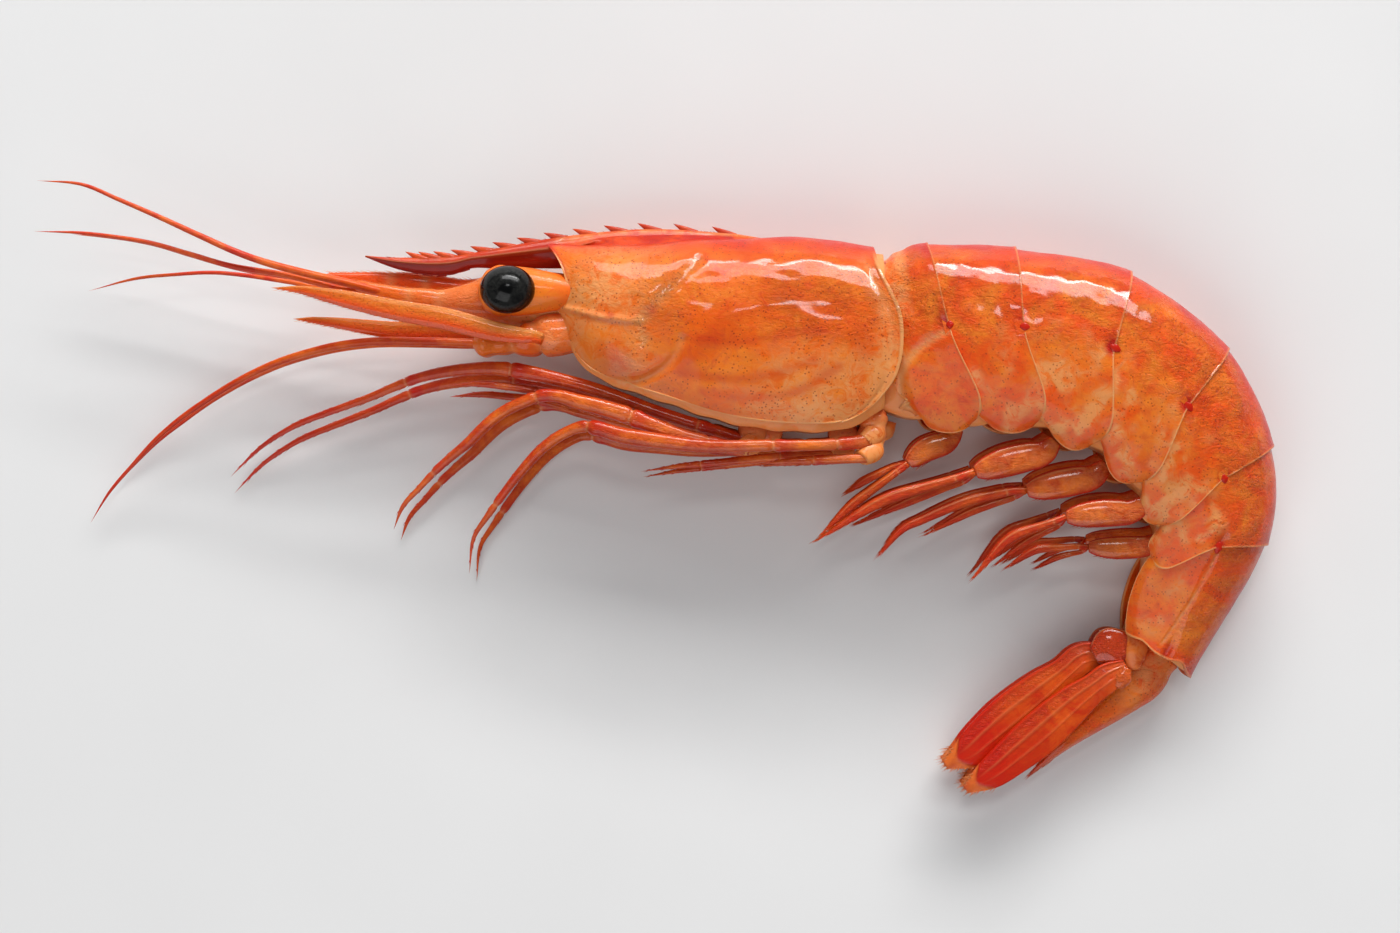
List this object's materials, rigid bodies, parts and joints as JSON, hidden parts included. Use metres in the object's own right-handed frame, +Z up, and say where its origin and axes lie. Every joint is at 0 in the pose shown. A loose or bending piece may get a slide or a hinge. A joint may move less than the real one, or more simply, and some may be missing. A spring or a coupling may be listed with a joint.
{
  "type": "raw shrimp",
  "caption": "Whole raw shrimp in its shell, head on, curled and lying on its side, with toothed beak, feelers, legs, swimmerets and tail fan.",
  "frame": {"origin": "bottom centre of the box around the animal, on the surface it lies on", "axes": "+X from the head towards the bend of the tail, +Y from the legs towards the back, +Z up, out of the left side of the body"},
  "size_m": [0.1242, 0.0608, 0.0148],
  "materials": {
    "head_shell": "wet translucent shell, mottled yellow-orange with dark specks and a red crest",
    "plates": "wet translucent orange shell plates, redder along the back, with pale edges",
    "flesh": "moist pale skin between the plates",
    "limbs": "glossy thin red-orange shell",
    "whips": "glossy red, finely ringed",
    "swimmerets": "glossy red-orange, with pale joints and fringed edges",
    "tail_fan": "glossy ribbed red-orange blades",
    "eyes": "polished dark grey, darker in the middle"
  },
  "bodies": {
    "root": {"abdomen_1": "plates", "abdomen_2": "plates", "abdomen_3": "plates", "abdomen_4": "plates", "abdomen_5": "plates", "abdomen_6": "plates", "abdomen_7": "plates", "antennule_left": "limbs", "antennule_right": "limbs", "antennule_whip_left_1": "whips", "antennule_whip_left_2": "whips", "antennule_whip_right_1": "whips", "antennule_whip_right_2": "whips", "carapace": "head_shell", "eye_left": "eyes", "eye_right": "eyes", "eyestalk_left": "flesh", "eyestalk_right": "flesh", "feeler_base_left": "limbs", "feeler_base_right": "limbs", "feeler_left": "whips", "feeler_right": "whips", "head": "flesh", "jawleg_left": "limbs", "jawleg_right": "limbs", "leg_left_1": "limbs", "leg_left_2": "limbs", "leg_left_3": "limbs", "leg_left_4": "limbs", "leg_left_5": "limbs", "leg_right_1": "limbs", "leg_right_2": "limbs", "leg_right_3": "limbs", "leg_right_4": "limbs", "leg_right_5": "limbs", "scale_left": "limbs", "scale_right": "limbs", "swimmeret_left_1": "swimmerets", "swimmeret_left_2": "swimmerets", "swimmeret_left_3": "swimmerets", "swimmeret_left_4": "swimmerets", "swimmeret_left_5": "swimmerets", "swimmeret_right_1": "swimmerets", "swimmeret_right_2": "swimmerets", "swimmeret_right_3": "swimmerets", "swimmeret_right_4": "swimmerets", "swimmeret_right_5": "swimmerets", "tail_inner_left": "tail_fan", "tail_inner_right": "tail_fan", "tail_outer_left": "tail_fan", "tail_outer_right": "tail_fan", "tail_root_left": "tail_fan", "tail_root_right": "tail_fan", "telson": "tail_fan", "thorax": "flesh"}
  },
  "joints": []
}
